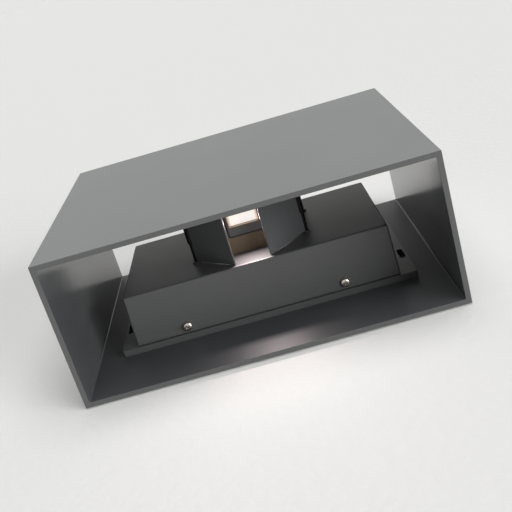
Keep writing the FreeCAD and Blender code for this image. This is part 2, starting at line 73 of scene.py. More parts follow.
MM = 0.001
print("nodes:", len(frame["nodes"]), "box:", cad_box)

# %% [markdown]
# ## The camera
#
# The light lies on its back on a pale sheet, and the camera looks down into its top end. A camera can
# be aimed with a rotation, with a Track To constraint, or with a matrix made from three directions. The
# matrix is used here, because the three directions came straight from fitting the sleeve's straight
# edges, and a matrix keeps the small roll that a constraint would lose.

# %% Camera
CAMERA_PLACE = Vector((-0.02702, -0.21060, 0.48711))
CAMERA_RIGHT = Vector((-0.9612, 0.2711, 0.0501))
CAMERA_FORWARD = Vector((0.0520, 0.3569, -0.9327))
CAMERA_LENS = 58.69


def aimed(place, forward, right):
    """Matrix of a camera or lamp that looks along forward, with its picture's right side along right."""
    back = -forward.normalized()
    up = back.cross(right).normalized()
    side = up.cross(back)
    turn = Matrix((side, up, back)).transposed().to_4x4()
    return Matrix.Translation(place) @ turn


camera_data = bpy.data.cameras.new("camera")
camera_data.lens = CAMERA_LENS
camera_data.clip_start = 0.01
camera_data.clip_end = 50
camera = bpy.data.objects.new("camera", camera_data)
camera.matrix_world = aimed(CAMERA_PLACE, CAMERA_FORWARD, CAMERA_RIGHT)
bpy.context.scene.collection.objects.link(camera)
bpy.context.scene.camera = camera
bpy.context.scene.view_settings.view_transform = "Standard"
print("camera stands", round(CAMERA_PLACE.length, 3), "m from the light")

# %% [markdown]
# ## Building nodes in code
#
# Materials and Geometry Nodes are both node trees, and both are wired the same way: make a node, set a
# few of its options, and give each input a number or a link. One helper that takes an input's value or
# the output that feeds it keeps every recipe below to one line for each node.


# %% Node helpers
def put(tree, kind, sockets=None, **options):
    """A new node of a kind, with its options set and its sockets given values or links."""
    node = tree.nodes.new(kind)
    for name, value in options.items():
        setattr(node, name, value)
    for key, value in (sockets or {}).items():
        if isinstance(value, bpy.types.NodeSocket):
            tree.links.new(value, node.inputs[key])
        else:
            node.inputs[key].default_value = value
    return node


def maths(tree, operation, first, second=0.0):
    """One step of arithmetic, as the output socket of its node."""
    return put(tree, "ShaderNodeMath", {0: first, 1: second}, operation=operation).outputs[0]


def ramp(tree, value, low, high, to_low=0.0, to_high=1.0):
    """The value's stretch from low to high, spread over another stretch and held at its ends."""
    sockets = {"Value": value, "From Min": low, "From Max": high, "To Min": to_low, "To Max": to_high}
    return put(tree, "ShaderNodeMapRange", sockets).outputs["Result"]


def blended(tree, share, first, second):
    """Two colours mixed, where a share of 1 is all second."""
    node = put(tree, "ShaderNodeMix", data_type="RGBA")
    for socket, value in ((node.inputs[0], share), (node.inputs[6], first), (node.inputs[7], second)):
        if isinstance(value, bpy.types.NodeSocket):
            tree.links.new(value, socket)
        elif socket.type == "RGBA":
            socket.default_value = (*value, 1) if len(value) == 3 else value
        else:
            socket.default_value = value
    return node.outputs[2]


# %% [markdown]
# ## A start for every finish
#
# Every finish below is a Principled surface that varies with the place on the piece. The place comes
# from Object coordinates, which are metres here because each piece sits at the origin, so a grain of
# 0.3 mm is a noise of scale 1 / 0.0003. The same few steps come back each time: stretch the place if
# the finish has a direction, read a noise there, and use it for colour, roughness and bump.


# %% Helpers for finishes
def new_finish(name, colour, roughness, metallic=0.0):
    """An empty finish: the material, its tree and its Principled shader."""
    material = bpy.data.materials.new(name)
    material.use_nodes = True
    tree = material.node_tree
    shader = tree.nodes["Principled BSDF"]
    shader.inputs["Base Color"].default_value = (*colour, 1)
    shader.inputs["Roughness"].default_value = roughness
    shader.inputs["Metallic"].default_value = metallic
    return material, tree, shader


def place_on(tree, stretch=(1, 1, 1)):
    """Object coordinates, with each axis stretched."""
    place = put(tree, "ShaderNodeTexCoord").outputs["Object"]
    return put(tree, "ShaderNodeMapping", {"Vector": place, "Scale": stretch}).outputs["Vector"]


def grain(tree, size, place=None, detail=2.0, roughness=0.5):
    """Noise from 0 to 1 whose grains are about a size in metres."""
    sockets = {"Scale": 1 / size, "Detail": detail, "Roughness": roughness,
               "Vector": place_on(tree) if place is None else place}
    return put(tree, "ShaderNodeTexNoise", sockets).outputs["Fac"]


def weighted(tree, first, weight, second):
    """Two values mixed, where the first has a weight and the second has the rest of 1."""
    share = maths(tree, "MULTIPLY", first, weight)
    return maths(tree, "ADD", share, maths(tree, "MULTIPLY", second, 1 - weight))


def bumped(tree, shader, height, depth):
    """Sends a height to the shader's normal as a bump of a depth in metres."""
    node = put(tree, "ShaderNodeBump", {"Height": height, "Distance": depth, "Strength": 1.0})
    tree.links.new(node.outputs["Normal"], shader.inputs["Normal"])


def varied(tree, shader, colour, change, share):
    """Gives the shader a colour that a share from 0 to 1 takes from darker to lighter."""
    darker = [part * (1 - change) for part in colour]
    lighter = [part * (1 + change) for part in colour]
    tree.links.new(blended(tree, share, darker, lighter), shader.inputs["Base Color"])


def roughened(tree, shader, value, low, high, smoothest, roughest):
    """Lets a value's stretch from low to high take the shader from its smoothest to its roughest."""
    tree.links.new(ramp(tree, value, low, high, smoothest, roughest), shader.inputs["Roughness"])


# %% [markdown]
# ## Powder coat on the sleeve
#
# The sleeve's graphite coat is a baked powder: matt from a step away and a fine orange peel close up.
# Inside, the coat is given a darker tone, which is painted shade for the shaded inside of the tube. The
# two side walls have a painted shade tone of their own, and they are also smoother: they shine at a low
# angle and mirror the pale sheet beyond the far end. The open ends were sawn before coating, and the
# saw's grain still shows through; their darker tone is painted shade too. Masks from the place and the
# surface direction find each of these, so one material does them all, and the tones are mixed by the
# masks.

# %% Sleeve coat
SLEEVE_OUTSIDE = (0.186, 0.190, 0.191)
# The tones below for the inside, the side walls and the ends are painted shade: the one coat drawn darker
# where less light falls.
SLEEVE_SIDE_WALL_SHADE = (0.078, 0.081, 0.083)
SLEEVE_INSIDE_SHADE = (0.054, 0.057, 0.060)
SLEEVE_END_SHADE = (0.087, 0.089, 0.089)
PEEL_SIZE = 0.9 * MM
POWDER_SIZE = 0.28 * MM
SAW_MARK_SIZE = 0.6 * MM
CLOUD_SIZE = 50 * MM
SLEEVE_SKIN_DEPTH = 0.03 * MM
INSIDE_MARGIN = 2 * MM
SIDE_WALL_SMOOTHER = 0.34
sleeve_low, sleeve_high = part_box("sleeve")


def sleeve_coat():
    """Graphite powder coat: paler outside; darker inside, on the side walls and on the sawn ends, as
    painted shade; smooth on the side walls.
    """
    material, tree, shader = new_finish("sleeve_coat", SLEEVE_OUTSIDE, 0.5)
    place = put(tree, "ShaderNodeSeparateXYZ", {0: place_on(tree)})
    facing = put(tree, "ShaderNodeSeparateXYZ", {0: put(tree, "ShaderNodeTexCoord").outputs["Normal"]})
    half = maths(tree, "ABSOLUTE", place.outputs["X"])
    inside_x = maths(tree, "LESS_THAN", half, sleeve_high.x - INSIDE_MARGIN)
    inside_front = maths(tree, "GREATER_THAN", place.outputs["Y"], sleeve_low.y + INSIDE_MARGIN)
    inside_back = maths(tree, "LESS_THAN", place.outputs["Y"], sleeve_high.y - INSIDE_MARGIN)
    inside = maths(tree, "MULTIPLY", maths(tree, "MULTIPLY", inside_x, inside_front), inside_back)
    side_wall = maths(tree, "MULTIPLY", inside, maths(tree, "ABSOLUTE", facing.outputs["X"]))
    end = ramp(tree, maths(tree, "ABSOLUTE", facing.outputs["Z"]), 0.8, 0.95)
    # The inside, side-wall and end tones are painted shade: darker copies of the one coat where less
    # light falls.
    colour = blended(tree, inside, SLEEVE_OUTSIDE, SLEEVE_INSIDE_SHADE)
    colour = blended(tree, side_wall, colour, SLEEVE_SIDE_WALL_SHADE)
    colour = blended(tree, end, colour, SLEEVE_END_SHADE)
    powder = grain(tree, POWDER_SIZE, detail=3)
    cloud = grain(tree, CLOUD_SIZE, detail=1)
    saw = grain(tree, SAW_MARK_SIZE, place_on(tree, (1, 0.05, 1)), detail=4, roughness=0.7)
    shade = ramp(tree, weighted(tree, powder, 0.75, cloud), 0.3, 0.7, 0.9, 1.1)
    shaded = put(tree, "ShaderNodeVectorMath", {0: colour, "Scale": shade}, operation="SCALE")
    tree.links.new(shaded.outputs["Vector"], shader.inputs["Base Color"])
    rough = ramp(tree, powder, 0.3, 0.7, 0.44, 0.56)
    smoother = ramp(tree, side_wall, 0, 1, 0, SIDE_WALL_SMOOTHER)
    tree.links.new(maths(tree, "SUBTRACT", rough, smoother), shader.inputs["Roughness"])
    peel = grain(tree, PEEL_SIZE, detail=1)
    saw_marks = maths(tree, "MULTIPLY", maths(tree, "MULTIPLY", saw, end), 1.2)
    height = maths(tree, "ADD", weighted(tree, peel, 0.5, powder), saw_marks)
    bumped(tree, shader, height, SLEEVE_SKIN_DEPTH)
    return material


# %% [markdown]
# ## Coats inside the sleeve
#
# The driver box, its plate, the lamp block and the flaps are coated in a darker charcoal. The sheet
# parts were brushed before coating. The strokes run from side to side, so their noise is stretched along
# X, and on the flaps it is stretched along Y. The lamp block is a casting, with a coarser, pitted skin.
# All of them come from one recipe, which takes the tone, the direction and the skin's size and depth.


# %% Charcoal coats
def charcoal_coat(name, colour, roughness, stroke=(1, 1, 1), size=0.5 * MM, depth=0.02 * MM):
    """Dark powder coat over strokes or pits, drawn out along the axis where stroke is small."""
    material, tree, shader = new_finish(name, colour, roughness)
    strokes = grain(tree, size, place_on(tree, stretch=stroke), detail=4, roughness=0.6)
    powder = grain(tree, POWDER_SIZE, detail=2)
    tone = weighted(tree, strokes, 0.6, powder)
    varied(tree, shader, colour, 0.14, ramp(tree, tone, 0.3, 0.7))
    roughened(tree, shader, strokes, 0.25, 0.75, roughness - 0.06, roughness + 0.08)
    bumped(tree, shader, tone, depth)
    return material


BRUSHED_ACROSS = (0.03, 1, 1)
BRUSHED_OUT = (1, 0.03, 1)
CAST_SKIN = {"size": 0.9 * MM, "depth": 0.05 * MM}

# %% [markdown]
# ## Bare and plated metal
#
# The cover screws are bright nickel on steel, with fine scratches that make the shine uneven. The hinge
# rods and their knuckles have a black oxide, which is nearly as dark as rubber and shines like metal. A
# metal's colour is in its reflection, so the variety goes into roughness and into patches of a slightly
# warmer tint, and less into tone. A flap's sheared edge is dull, so it is a coat and not a metal.


# %% Metals
def plated(name, colour, roughness, tint):
    """Plated metal with patches of a second tint and fine scratches."""
    material, tree, shader = new_finish(name, colour, roughness, metallic=1.0)
    blotch = grain(tree, 1.5 * MM, detail=3)
    scratches = grain(tree, 0.4 * MM, place_on(tree, (1, 0.15, 0.4)), detail=3)
    mixed = blended(tree, ramp(tree, blotch, 0.35, 0.7), colour, tint)
    tree.links.new(mixed, shader.inputs["Base Color"])
    roughened(tree, shader, scratches, 0.3, 0.7, roughness - 0.05, roughness + 0.1)
    bumped(tree, shader, scratches, 0.004 * MM)
    return material


def sheared_edge():
    """A flap's cut edge: the coat is thin there, and it is paler along the lines that the shear left."""
    colour = (0.085, 0.080, 0.072)
    material, tree, shader = new_finish("sheared_edge", colour, 0.7)
    shader.inputs["Specular IOR Level"].default_value = 0.25
    lines = grain(tree, 0.3 * MM, place_on(tree, (1, 0.05, 1)), detail=3)
    varied(tree, shader, colour, 0.3, lines)
    roughened(tree, shader, lines, 0.2, 0.8, 0.6, 0.8)
    bumped(tree, shader, lines, 0.01 * MM)
    return material


# %% [markdown]
# ## Plastics and rubber
#
# Moulded pieces inside the box differ mostly in tone and gloss: a fine spark-eroded skin on the driver
# case, a waxy half-clear terminal block, matt rubber in the seals and smooth silicone on the leads. The
# earth lead's yellow stripes come from a wave that runs aslant through the place, so they look wound.


# %% Moulded finishes
def moulded(name, colour, roughness, size=0.4 * MM, depth=0.01 * MM, waxy=0.0):
    """Plastic or rubber with a fine skin and faint clouds of tone. A waxy one takes light in."""
    material, tree, shader = new_finish(name, colour, roughness)
    skin = grain(tree, size, detail=3)
    clouds = grain(tree, 6 * MM)
    varied(tree, shader, colour, 0.05, ramp(tree, clouds, 0.3, 0.7))
    roughened(tree, shader, skin, 0.3, 0.7, roughness - 0.05, roughness + 0.08)
    shader.inputs["Subsurface Weight"].default_value = waxy
    shader.inputs["Subsurface Radius"].default_value = (1, 0.8, 0.6)
    shader.inputs["Subsurface Scale"].default_value = 1 * MM
    bumped(tree, shader, skin, depth)
    return material


def earth_sleeving():
    """Green sleeving with yellow stripes."""
    green = (0.06, 0.30, 0.05)
    yellow = (0.72, 0.60, 0.04)
    material, tree, shader = new_finish("earth_sleeving", green, 0.35)
    wave = put(tree, "ShaderNodeTexWave", {"Vector": place_on(tree), "Scale": 70.0, "Distortion": 0.0},
               bands_direction="DIAGONAL")
    striped = blended(tree, ramp(tree, wave.outputs["Fac"], 0.45, 0.55), green, yellow)
    tree.links.new(striped, shader.inputs["Base Color"])
    bumped(tree, shader, grain(tree, 0.3 * MM), 0.008 * MM)
    return material


# %% [markdown]
# ## The lit window
#
# A frosted glass in front of three chips looks evenly white in a photograph, and copper towards its two
# ends, where the light has crossed more glass. The glass glows at about three quarters of the level of
# white paper, and the real light comes from small area lamps just outside it, which are set later: a
# camera sees a surface's glow, but a small lamp lights the flaps and the box with far less noise. The
# edge of the opening in front of the glass gets a finish of its own, a warm metal colour that is painted
# light: the lamp's glow on it.

# %% Glass and chips
GLOW_WHITE = (1.0, 0.96, 0.91)
GLOW_END = (1.0, 0.66, 0.42)
GLOW_LOW = 0.70
GLOW_HIGH = 0.78
GLOW_LOSS = 0.25
END_START = 1.6 * MM
END_FULL = 0.3 * MM


def lit_glass(half_width):
    """Frosted glass that glows white, and dimmer and copper within a millimetre or two of its ends."""
    material, tree, shader = new_finish("lit_glass", (0.30, 0.29, 0.27), 0.35)
    across = put(tree, "ShaderNodeSeparateXYZ", {0: place_on(tree)}).outputs["X"]
    beside = maths(tree, "ABSOLUTE", across)
    near_end = ramp(tree, beside, half_width - END_START, half_width - END_FULL)
    tree.links.new(blended(tree, near_end, GLOW_WHITE, GLOW_END), shader.inputs["Emission Color"])
    frost = grain(tree, 0.4 * MM, detail=3)
    glow = ramp(tree, frost, 0.3, 0.7, GLOW_LOW, GLOW_HIGH)
    strength = maths(tree, "SUBTRACT", glow, maths(tree, "MULTIPLY", near_end, GLOW_LOSS))
    tree.links.new(strength, shader.inputs["Emission Strength"])
    bumped(tree, shader, frost, 0.01 * MM)
    return material


def bare_reveal():
    """Warm metal round the opening of a window frame, its colour painted light from the lamp."""
    # The warm colour is painted light: the lamp's glow on the edge of the opening.
    colour = (0.46, 0.34, 0.26)
    material, tree, shader = new_finish("bare_reveal", colour, 0.45, 0.7)
    marks = grain(tree, 0.3 * MM, place_on(tree, (1, 1, 0.1)), detail=3)
    varied(tree, shader, colour, 0.2, marks)
    roughened(tree, shader, marks, 0.3, 0.7, 0.38, 0.55)
    bumped(tree, shader, marks, 0.006 * MM)
    return material


def chip_phosphor():
    """Yellow phosphor that glows warm white."""
    colour = (0.88, 0.74, 0.28)
    material, tree, shader = new_finish("led_phosphor", colour, 0.4)
    crystals = grain(tree, 0.2 * MM, detail=2)
    varied(tree, shader, colour, 0.1, crystals)
    shader.inputs["Emission Color"].default_value = (1.0, 0.9, 0.7, 1)
    shader.inputs["Emission Strength"].default_value = 1.0
    bumped(tree, shader, crystals, 0.01 * MM)
    return material


# %% Make the finishes
glass_low, glass_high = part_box("window_glass_upper")
FINISHES = {
    "sleeve_coat": sleeve_coat(),
    "cover_coat": charcoal_coat("cover_coat", (0.071, 0.073, 0.073), 0.42, BRUSHED_ACROSS),
    "plate_coat": charcoal_coat("plate_coat", (0.068, 0.070, 0.070), 0.42, BRUSHED_ACROSS),
    "lamp_coat": charcoal_coat("lamp_coat", (0.048, 0.048, 0.045), 0.5, **CAST_SKIN),
    "flap_coat": charcoal_coat("flap_coat", (0.078, 0.081, 0.083), 0.5, BRUSHED_OUT),
    "bright_steel": plated("bright_steel", (0.62, 0.59, 0.56), 0.26, (0.52, 0.46, 0.40)),
    "black_steel": plated("black_steel", (0.010, 0.010, 0.011), 0.42, (0.016, 0.013, 0.012)),
    "black_rubber": moulded("black_rubber", (0.016, 0.016, 0.017), 0.75, 0.3 * MM, 0.02 * MM),
    "nylon": moulded("nylon", (0.03, 0.03, 0.03), 0.45, waxy=0.1),
    "lit_glass": lit_glass((glass_high.x - glass_low.x) / 2),
    "clear_silicone": moulded("clear_silicone", (0.80, 0.79, 0.76), 0.3, waxy=0.4),
    "white_board": moulded("white_board", (0.88, 0.88, 0.86), 0.25, 1.2 * MM, 0.004 * MM),
    "led_phosphor": chip_phosphor(),
    "driver_case": moulded("driver_case", (0.80, 0.80, 0.78), 0.5, 0.3 * MM, 0.02 * MM),
    "terminal_body": moulded("terminal_body", (0.72, 0.72, 0.68), 0.38, waxy=0.3),
    "brass_plated": plated("brass_plated", (0.72, 0.60, 0.36), 0.25, (0.62, 0.48, 0.24)),
    "tinned_copper": plated("tinned_copper", (0.75, 0.74, 0.72), 0.28, (0.70, 0.62, 0.52)),
    "lead_sleeving": moulded("lead_sleeving", (0.55, 0.50, 0.46), 0.4, 0.6 * MM, 0.006 * MM),
    "earth_sleeving": earth_sleeving(),
}
SLOT_OF = {part["node"]: part["material_slot"] for part in frame["record"]["subparts"]}
bodies = frame["record"]["behaviour"]["bodies"]
BODY_OF = {node: body for body, nodes in bodies.items() for node in nodes}
for name, node in frame["nodes"].items():
    node.data.materials.clear()
    node.data.materials.append(FINISHES[SLOT_OF[name]])
print("finishes:", len(FINISHES), "on", len(frame["nodes"]), "nodes")

# %% [markdown]
# ## Softened edges
#
# A machined or folded edge is never sharp: a thin rounding catches the light and draws the outline. The
# CAD solids have their main rounds and leave the small ones out. Bevelling could be done in the shader,
# but that changes no shape. So each visible solid is copied, its loose triangles are joined, flat areas
# are cleared of their inner edges, and a Bevel modifier rounds what is left. A Weighted Normal modifier
# then gives the large faces their own direction right up to the rounding, so that they stay flat in the
# light. The result is turned into a plain mesh that replaces the node.


# %% Helpers for pieces
SAME_POINT = 0.002 * MM
FLAT_ANGLE = math.radians(0.5)
EDGE_ANGLE = math.radians(32)
FACE_WEIGHT = 90


def joined_copy(name):
    """A copy of a CAD node's mesh with its triangles joined and its flat areas cleared."""
    mesh = frame["nodes"][name].data.copy()
    work = bmesh.new()
    work.from_mesh(mesh)
    bmesh.ops.remove_doubles(work, verts=work.verts, dist=SAME_POINT)
    bmesh.ops.dissolve_limit(work, angle_limit=FLAT_ANGLE, verts=work.verts, edges=work.edges)
    bmesh.ops.recalc_face_normals(work, faces=work.faces)
    for face in work.faces:
        face.smooth = True
    for layer in ("custom_normal", "sharp_edge"):
        if layer in mesh.attributes:
            mesh.attributes.remove(mesh.attributes[layer])
    work.to_mesh(mesh)
    work.free()
    return mesh


def plain_mesh(piece):
    """Turns a piece and its modifiers into a plain mesh, and removes the modifiers."""
    graph = bpy.context.evaluated_depsgraph_get()
    mesh = bpy.data.meshes.new_from_object(piece.evaluated_get(graph))
    old = piece.data
    piece.modifiers.clear()
    piece.data = mesh
    bpy.data.meshes.remove(old)
    mesh.name = piece.name
    return mesh


def settled(piece, names):
    """Makes a finished piece ride on its nodes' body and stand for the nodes."""
    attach(piece, BODY_OF[names[0]])
    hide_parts(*names)
    return piece


def softened(name, width, segments=2):
    """A piece that stands for a CAD node, the same shape with rounded edges."""
    piece = bpy.data.objects.new(name + "_finished", joined_copy(name))
    bpy.context.scene.collection.objects.link(piece)
    bevel = piece.modifiers.new("edges", "BEVEL")
    bevel.width = width
    bevel.segments = segments
    bevel.limit_method = "ANGLE"
    bevel.angle_limit = EDGE_ANGLE
    bevel.miter_outer = "MITER_ARC"
    normals = piece.modifiers.new("normals", "WEIGHTED_NORMAL")
    normals.mode = "FACE_AREA"
    normals.weight = FACE_WEIGHT
    mesh = plain_mesh(piece)
    mesh.materials.clear()
    mesh.materials.append(FINISHES[SLOT_OF[name]])
    print(f"{piece.name:28s} faces {len(mesh.polygons):6d}")
    return settled(piece, [name])


# %% Solids of a node
def solids_of(name):
    """Low and high corner of each separate solid of a CAD node."""
    work = bmesh.new()
    work.from_mesh(frame["nodes"][name].data)
    bmesh.ops.remove_doubles(work, verts=work.verts, dist=SAME_POINT)
    reached = set()
    boxes = []
    for start in work.verts:
        if start in reached:
            continue
        reached.add(start)
        solid = [start]
        for vertex in solid:
            near = [edge.other_vert(vertex) for edge in vertex.link_edges]
            fresh = [other for other in near if other not in reached]
            reached.update(fresh)
            solid.extend(fresh)
        low = Vector([min(vertex.co[axis] for vertex in solid) for axis in range(3)])
        high = Vector([max(vertex.co[axis] for vertex in solid) for axis in range(3)])
        boxes.append((low, high))
    work.free()
    return boxes


# %% [markdown]
# ## Sleeve, plate and driver box
#
# The sleeve is an extrusion cut to length, so its long edges have the die's small radius and its sawn
# ends only a touch of a file. The driver cover is drawn from sheet, and its edges are already round.

# %% Sleeve, plate and cover
softened("sleeve", 0.25 * MM)
softened("base_plate", 0.25 * MM)
softened("driver_cover", 0.2 * MM)
softened("cable_grommet", 0.4 * MM, 3)

# %% [markdown]
# ## Lamp block and hinge bridge
#
# These are small aluminium castings with a rounded parting edge all round. The window frames are
# separate plates, and the round on their edge is what separates them from the block in the picture. The
# pedestal's coat is given a warm brown, which is painted light: the lamp's warm glow falling on it. The
# driver's case and the terminal block, which the closed cover hides, are softened with them.

# %% Lamp block
LAMPLIT_REVEAL = bare_reveal()
# The pedestal's warm brown tone is painted light: the lamp's glow that falls on its wall.
PEDESTAL_LAMPLIT_COAT = charcoal_coat("pedestal_coat", (0.108, 0.077, 0.044), 0.5, **CAST_SKIN)


def lamplit_opening(piece, glass):
    """Gives the faces inside a frame's opening the warm finish, whose colour is painted lamp light."""
    low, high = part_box(glass)
    reach = 0.35 * MM
    # The faces found here get the warm colour that is painted lamp light.
    piece.data.materials.append(LAMPLIT_REVEAL)
    bare = 0
    for face in piece.data.polygons:
        within_x = low.x - reach < face.center.x < high.x + reach
        within_y = low.y - reach < face.center.y < high.y + reach
        if within_x and within_y and abs(face.normal.z) < 0.5:
            face.material_index = 1
            bare += 1
    print(piece.name, "bare faces:", bare)


pedestal = softened("lamp_pedestal", 0.5 * MM, 3)
pedestal.data.materials[0] = PEDESTAL_LAMPLIT_COAT
softened("lamp_head", 0.5 * MM, 3)
for end in ("upper", "lower"):
    lamplit_opening(softened("window_frame_" + end, 0.3 * MM), "window_glass_" + end)
softened("hinge_bridge", 0.3 * MM)
softened("led_driver", 0.4 * MM, 3)
softened("terminal_block", 0.3 * MM)

# %% [markdown]
# ## Dark beads round the window frames
#
# Each window frame is bedded in black rubber. A rounded black bead is also drawn all round each frame, a
# little beyond its rim, as painted shade: it makes the dark line of shade under the grey bar. A bead is a
# round section that follows a path, so it is a curve with a bevel, turned into a mesh.


# %% Shade beads
BEAD_BEYOND = 0.45 * MM
BEAD_CORNER = 1.2 * MM
BEAD_THICKNESS = 1.4 * MM
BEAD_LEVEL = 2.0 * MM
CORNER_STEPS = 5


def corner_path(low, high, beyond, radius, level):
    """Points of a rounded rectangle round a frame, a little beyond its rim, at a level along Z."""
    middle = (low + high) / 2
    across = (high.x - low.x) / 2 + beyond - radius
    along = (high.y - low.y) / 2 + beyond - radius
    points = []
    for quarter, (side, end) in enumerate(((1, 1), (-1, 1), (-1, -1), (1, -1))):
        for step in range(CORNER_STEPS + 1):
            angle = math.pi / 2 * (quarter + step / CORNER_STEPS)
            x = middle.x + side * across + radius * math.cos(angle)
            y = middle.y + end * along + radius * math.sin(angle)
            points.append((x, y, level))
    return points


def bead(name, points, thickness, body="housing", slot="black_rubber", closed=True):
    """A round section swept along a path, closed into a ring or with flat ends."""
    data = bpy.data.curves.new(name, "CURVE")
    data.dimensions = "3D"
    data.bevel_depth = thickness / 2
    data.bevel_resolution = 4
    line = data.splines.new("POLY")
    line.points.add(len(points) - 1)
    for point, place in zip(line.points, points):
        point.co = (*place, 1)
    line.use_cyclic_u = closed
    data.use_fill_caps = not closed
    tube = bpy.data.objects.new(name + "_line", data)
    bpy.context.scene.collection.objects.link(tube)
    graph = bpy.context.evaluated_depsgraph_get()
    mesh = bpy.data.meshes.new_from_object(tube.evaluated_get(graph))
    bpy.data.objects.remove(tube)
    mesh.materials.clear()
    mesh.materials.append(FINISHES[slot])
    piece = bpy.data.objects.new(name, mesh)
    bpy.context.scene.collection.objects.link(piece)
    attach(piece, body)
    return piece


# Each bead is painted shade: a black ring drawn where the dark line of shade under the frame shows.
for end, outward in (("upper", 1), ("lower", -1)):
    low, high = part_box("window_frame_" + end)
    level = outward * (min(abs(low.z), abs(high.z)) + BEAD_LEVEL)
    path = corner_path(low, high, BEAD_BEYOND, BEAD_CORNER, level)
    piece = bead("seal_bead_" + end, path, BEAD_THICKNESS)
    print(piece.name, "faces", len(piece.data.polygons))

# %% [markdown]
# ## Flaps and hinge rods
#
# A flap is sheared from sheet, and its coat is thin and rubbed on the cut edges, which look paler. The
# faces whose direction lies in the sheet's plane are the cut ones. They are found from the mesh after
# bevelling, and get a second material. The flap's inner edge is cut a little aslant: at the rod it clears
# the washer, and towards the tip it comes nearer to the cover, so that less light leaks under it. A black
# knuckle wraps the front two thirds of the rod. It turns with the flap, and it is swept like a bead.

# %% Flaps
EDGE_FINISH = sheared_edge()
INNER_EDGE = 0.3 * MM
FLAP_DROP = 0.9 * MM
KNUCKLE_LENGTH = 28.5 * MM
KNUCKLE_THICKNESS = 3.7 * MM
KNUCKLE_INSET = 0.1 * MM


def sheet_direction(mesh):
    """Direction square to a sheet: the direction of its largest face."""
    return max(mesh.polygons, key=lambda face: face.area).normal.copy()


def pale_cut_edges(piece):
    """Gives the cut edges of a sheet piece their paler finish."""
    mesh = piece.data
    mesh.materials.append(EDGE_FINISH)
    across = sheet_direction(mesh)
    cut = 0
    for face in mesh.polygons:
        if abs(face.normal.dot(across)) < 0.3:
            face.material_index = 1
            cut += 1
    print(piece.name, "cut edge faces:", cut)


def cut_aslant(piece, hinge, drop):
    """Brings a flap's inner edge nearer to the cover, by a drop that grows from its hinge to its tip."""
    spans = [math.hypot(vertex.co.x - hinge.x, vertex.co.z - hinge.z) for vertex in piece.data.vertices]
    inner = max(vertex.co.y for vertex in piece.data.vertices)
    for vertex, span in zip(piece.data.vertices, spans):
        if vertex.co.y > inner - INNER_EDGE:
            vertex.co.y += drop * span / max(spans)
    piece.data.update()


for end in ("upper", "lower"):
    for side in ("left", "right"):
        flap_node = f"flap_{end}_{side}"
        rod = f"rod_{end}_{side}"
        low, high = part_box(rod)
        hinge = (low + high) / 2
        flap = softened(flap_node, 0.12 * MM)
        pale_cut_edges(flap)
        cut_aslant(flap, hinge, FLAP_DROP)
        softened(rod, 0.2 * MM, 3)
        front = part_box(flap_node)[0].y + KNUCKLE_INSET
        ends = [(hinge.x, front + reach, hinge.z) for reach in (0, KNUCKLE_LENGTH)]
        bead(f"knuckle_{end}_{side}", ends, KNUCKLE_THICKNESS, BODY_OF[rod], "black_steel", closed=False)

# %% [markdown]
# ## Small turned parts
#
# The light is held together by pan-head and countersunk screws with a cross recess, and the terminal
# block clamps with slotted ones. On a lathe each would be turned from an outline and then get its recess
# pressed in. Geometry Nodes can do the same: an outline of radius against height is swept round the axis,
# tapered cutters are taken away, and the finished shape is placed on a point for each screw, turned about
# its axis by a chance amount, because nobody stops every screw at the same angle. One tree serves all
# kinds. The points come from the separate solids of each CAD node, so the screws sit where the model has
# them.


# %% Points for repeats
def tops_of(name, outward):
    """The outermost point on each solid's axis, with its outward direction, and the solids' length."""
    places = []
    for low, high in solids_of(name):
        centre = (low + high) / 2
        way = outward if outward.length else Vector((0, 0, math.copysign(1, centre.z)))
        reach = abs((high - low).dot(way)) / 2
        places.append((centre + way * reach, way))
    return places, 2 * reach


def points_mesh(name, places):
    """A mesh of bare points, one for each place, that carry the direction outward."""
    mesh = bpy.data.meshes.new(name)
    mesh.from_pydata([place for place, way in places], [], [])
    outward = mesh.attributes.new("outward", "FLOAT_VECTOR", "POINT")
    outward.data.foreach_set("vector", [part for place, way in places for part in way])
    return mesh


FRONT = Vector((0, -1, 0))
BACK = Vector((0, 1, 0))
NEAREST_END = Vector((0, 0, 0))
for place, way in tops_of("cover_screws", NEAREST_END)[0]:
    print("cover screw at", tuple(round(part / MM, 1) for part in place), "faces", way[:])


# %% Helpers for Geometry Nodes
SEED = 7
SHARP_ANGLE = math.radians(35)


def tree_with(name, inputs):
    """A new Geometry Nodes tree with named inputs, the outputs of its input node, and its result."""
    tree = bpy.data.node_groups.new(name, "GeometryNodeTree")
    tree.interface.new_socket("Places", in_out="INPUT", socket_type="NodeSocketGeometry")
    for label, kind in inputs.items():
        tree.interface.new_socket(label, in_out="INPUT", socket_type="NodeSocket" + kind)
    tree.interface.new_socket("Result", in_out="OUTPUT", socket_type="NodeSocketGeometry")
    given = tree.nodes.new("NodeGroupInput").outputs
    result = tree.nodes.new("NodeGroupOutput").inputs[0]
    return tree, given, result


def placed(tree, given, result, shape, free_turn):
    """Puts a shape on every place, facing outward, and sends it on as real mesh with its finish."""
    outward = put(tree, "GeometryNodeInputNamedAttribute", {"Name": "outward"}, data_type="FLOAT_VECTOR")
    facing = put(tree, "FunctionNodeAlignRotationToVector", {"Vector": outward.outputs[0]}, axis="Z")
    chance = put(tree, "FunctionNodeRandomValue", {2: 0.0, 3: free_turn, 8: given["Seed"]},
                 data_type="FLOAT")
    turn = put(tree, "FunctionNodeAxisAngleToRotation", {"Axis": (0, 0, 1), "Angle": chance.outputs[1]})
    turned = put(tree, "FunctionNodeRotateRotation", {0: facing.outputs[0], 1: turn.outputs[0]},
                 rotation_space="LOCAL")
    copies = put(tree, "GeometryNodeInstanceOnPoints",
                 {"Points": given["Places"], "Instance": shape, "Rotation": turned.outputs[0]})
    real = put(tree, "GeometryNodeRealizeInstances", {0: copies.outputs[0]})
    coated = put(tree, "GeometryNodeSetMaterial",
                 {"Geometry": real.outputs[0], "Material": given["Finish"]})
    tree.links.new(coated.outputs[0], result)


